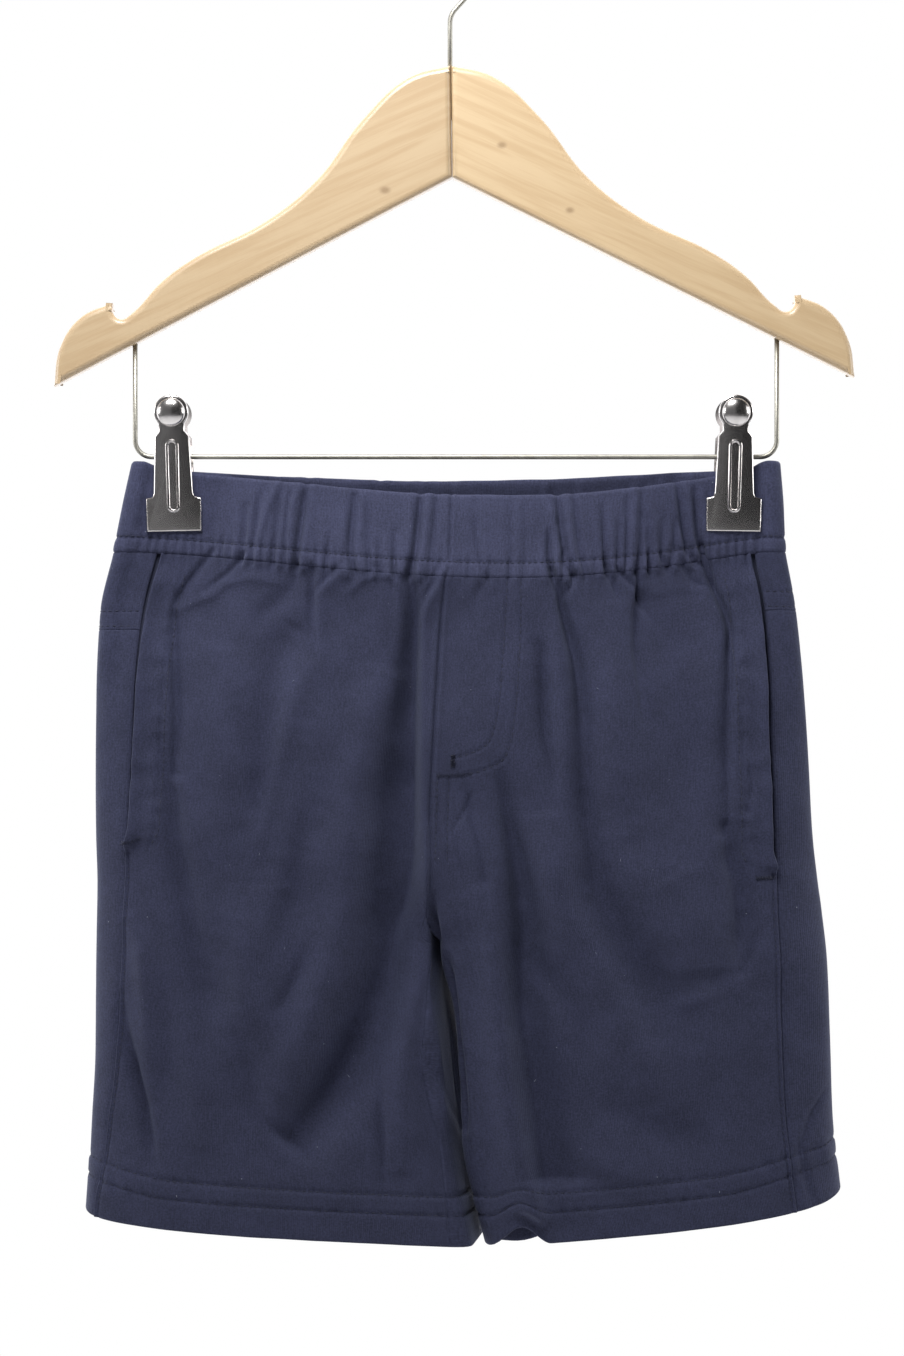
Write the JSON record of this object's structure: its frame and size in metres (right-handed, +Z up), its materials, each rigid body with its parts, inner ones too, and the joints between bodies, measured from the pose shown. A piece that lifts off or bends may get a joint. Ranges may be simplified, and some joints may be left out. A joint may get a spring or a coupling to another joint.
{
  "type": "shorts on a clip hanger",
  "caption": "Child's pull-on jersey shorts with a gathered elastic waistband, side pockets and back yokes, held by clips under a wooden hanger with a wire bar and hook.",
  "frame": {"origin": "inside top of the hook, where a rail carries the hanger", "axes": "+Z up, the front of the shorts faces -Y, and +X is the wearer's left"},
  "size_m": [0.3396, 0.055, 0.5776],
  "materials": {
    "navy_jersey": "matte cotton jersey",
    "navy_pocketing": "matte",
    "maple": "clear satin lacquer",
    "steel_wire": "bright plated",
    "clip_steel": "bright plated"
  },
  "bodies": {
    "root": {"front_left": "navy_jersey", "front_right": "navy_jersey", "back_left": "navy_jersey", "back_right": "navy_jersey", "yoke_left": "navy_jersey", "yoke_right": "navy_jersey", "waistband_front": "navy_jersey", "waistband_back": "navy_jersey", "pocket_left": "navy_pocketing", "pocket_right": "navy_pocketing", "wood_left": "maple", "wood_right": "maple", "hook": "steel_wire", "trouser_bar": "steel_wire", "clip_left_front": "clip_steel", "clip_left_back": "clip_steel", "clip_right_front": "clip_steel", "clip_right_back": "clip_steel", "clip_left_spring": "steel_wire", "clip_right_spring": "steel_wire"}
  },
  "joints": []
}
